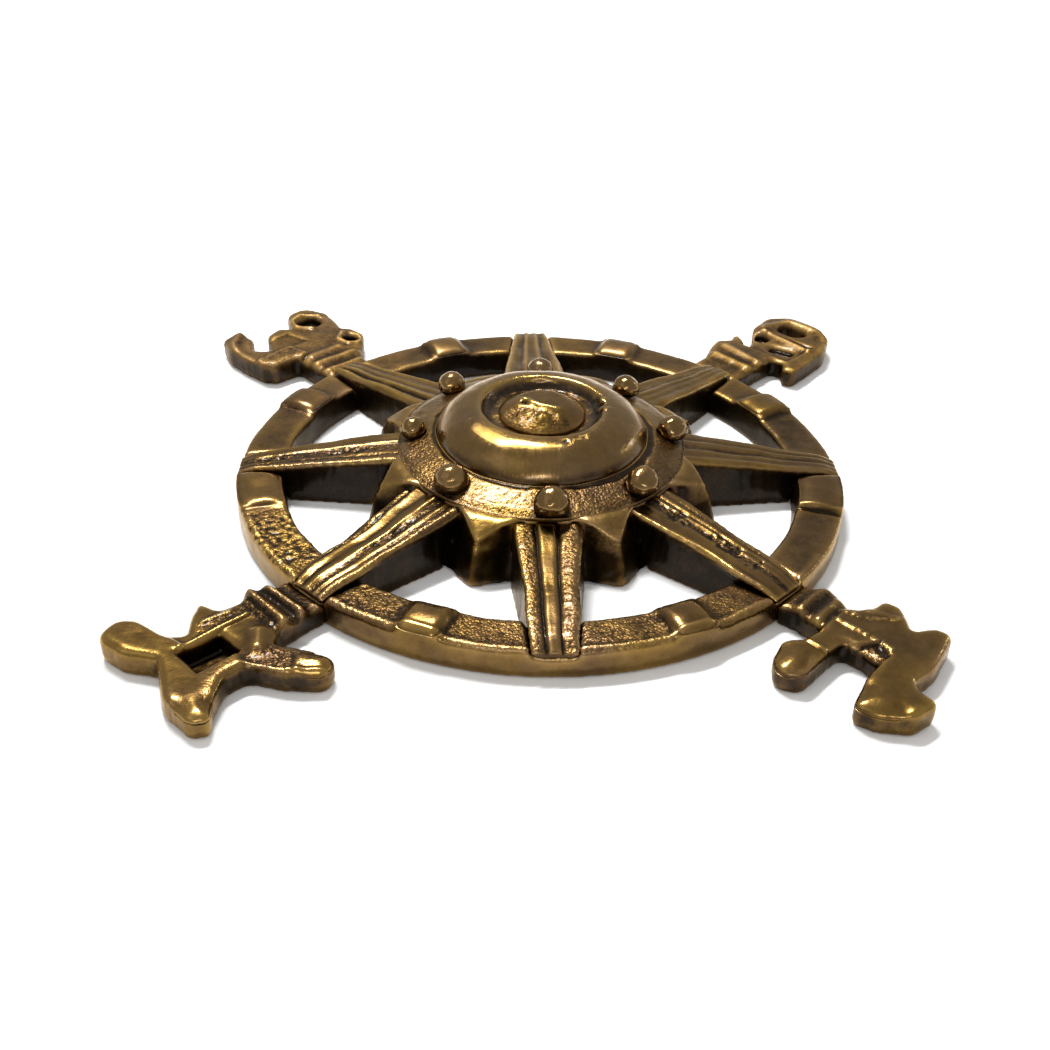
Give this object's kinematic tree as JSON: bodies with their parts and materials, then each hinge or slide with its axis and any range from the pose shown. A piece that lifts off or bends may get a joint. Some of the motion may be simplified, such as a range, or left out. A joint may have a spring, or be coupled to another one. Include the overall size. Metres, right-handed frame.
{
  "type": "compass rose plaque",
  "caption": "Cast brass compass rose: a ring on spokes around a star hub with a riveted domed centre, and ornamental finials on its diagonals.",
  "frame": {"origin": "centre of the rim on the flat back plane", "axes": "+Z out of the front along the dome's axis, front spoke along -Y, finials on the diagonals"},
  "size_m": [0.1473, 0.1506, 0.0206],
  "materials": {
    "rim_brass": "antique, satin, pebbled top",
    "spoke_brass": "antique, worn ridges, dark grooves",
    "finial_brass": "antique, polished lobes, dark sides",
    "polished_brass": "brushed and polished",
    "rough_brass": "rough sand-cast, antique",
    "dark_brass": "dark patina"
  },
  "bodies": {
    "root": {"rim": "rim_brass", "hub": "dark_brass", "bezel": "rough_brass", "dome": "polished_brass", "centre_button": "rough_brass", "rivets": "polished_brass", "spoke_pins": "dark_brass", "finial_pins": "dark_brass", "spoke_front": "spoke_brass", "spoke_front_right": "spoke_brass", "spoke_right": "spoke_brass", "spoke_back_right": "spoke_brass", "spoke_back": "spoke_brass", "spoke_back_left": "spoke_brass", "spoke_left": "spoke_brass", "spoke_front_left": "spoke_brass", "finial_front_left": "finial_brass", "finial_front_right": "finial_brass", "finial_back_left": "finial_brass", "finial_back_right": "finial_brass"}
  },
  "joints": []
}
